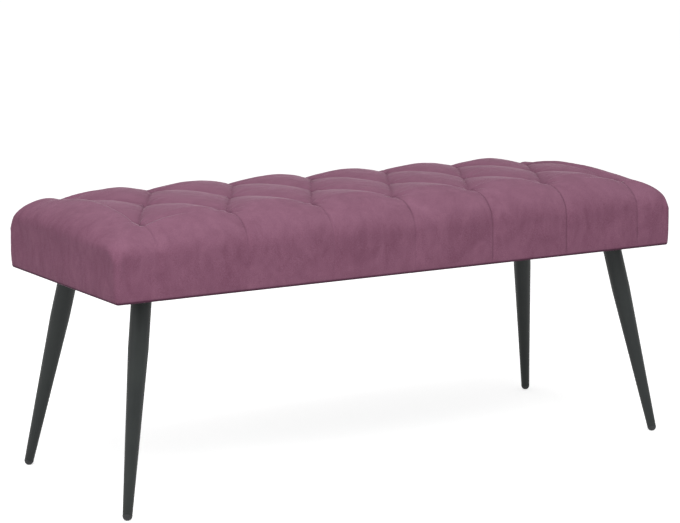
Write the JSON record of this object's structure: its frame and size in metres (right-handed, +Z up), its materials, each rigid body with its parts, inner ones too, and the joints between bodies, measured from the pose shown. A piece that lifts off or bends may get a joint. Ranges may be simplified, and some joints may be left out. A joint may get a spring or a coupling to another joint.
{
  "type": "upholstered bench",
  "caption": "long bench with a diamond-tufted velvet seat on splayed, tapered round metal legs",
  "frame": {"origin": "on the floor, below the middle of the seat", "axes": "X along the bench, left to right as seen from the front; Y from the front to the back; Z up"},
  "size_m": [1.07, 0.4, 0.466],
  "materials": {
    "cover_fabric": "soft pile",
    "foam": "matte",
    "plywood": "matte",
    "lining": "matte",
    "tape": "matte",
    "peg_wood": "matte",
    "leg_paint": "matte",
    "glide_plastic": "matte"
  },
  "bodies": {
    "root": {"seat_cover": "cover_fabric", "seat_foam": "foam", "seat_board": "plywood", "dust_cover": "lining", "tuft_tapes": "tape", "tuft_pegs": "peg_wood", "leg_plate_front_left": "leg_paint", "leg_front_left": "leg_paint", "leg_plate_front_right": "leg_paint", "leg_front_right": "leg_paint", "leg_plate_back_left": "leg_paint", "leg_back_left": "leg_paint", "leg_plate_back_right": "leg_paint", "leg_back_right": "leg_paint", "leg_glides": "glide_plastic"}
  },
  "joints": []
}
